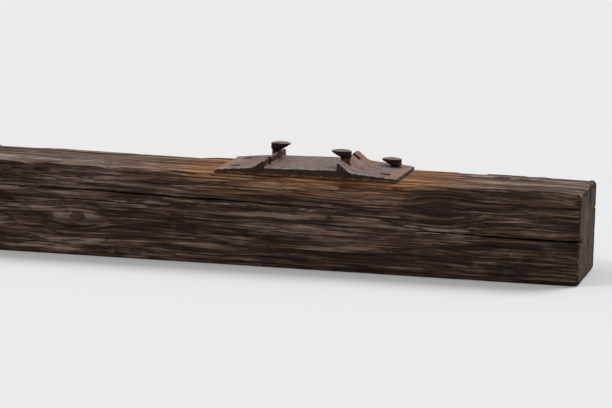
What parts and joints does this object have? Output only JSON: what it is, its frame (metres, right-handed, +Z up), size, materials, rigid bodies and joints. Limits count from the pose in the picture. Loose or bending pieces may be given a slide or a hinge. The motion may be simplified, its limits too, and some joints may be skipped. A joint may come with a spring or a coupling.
{
  "type": "railway sleeper",
  "caption": "Timber railway sleeper with steel tie plates, each with a canted rail seat between two shoulders, held by cut spikes.",
  "frame": {"origin": "centre of the timber's bottom face, midway between the two rails", "axes": "+X along the sleeper, across the track; +Y along the track; +Z up"},
  "size_m": [2.5908, 0.2286, 0.2275],
  "materials": {
    "timber": "matte",
    "tie_plate": "matte",
    "spike": "matte"
  },
  "bodies": {
    "root": {"timber": "timber", "tie_plate_left": "tie_plate", "tie_plate_right": "tie_plate", "line_spike_left_field": "spike", "line_spike_left_gauge": "spike", "plate_spike_left_field": "spike", "line_spike_right_field": "spike", "line_spike_right_gauge": "spike", "plate_spike_right_field": "spike"}
  },
  "joints": []
}
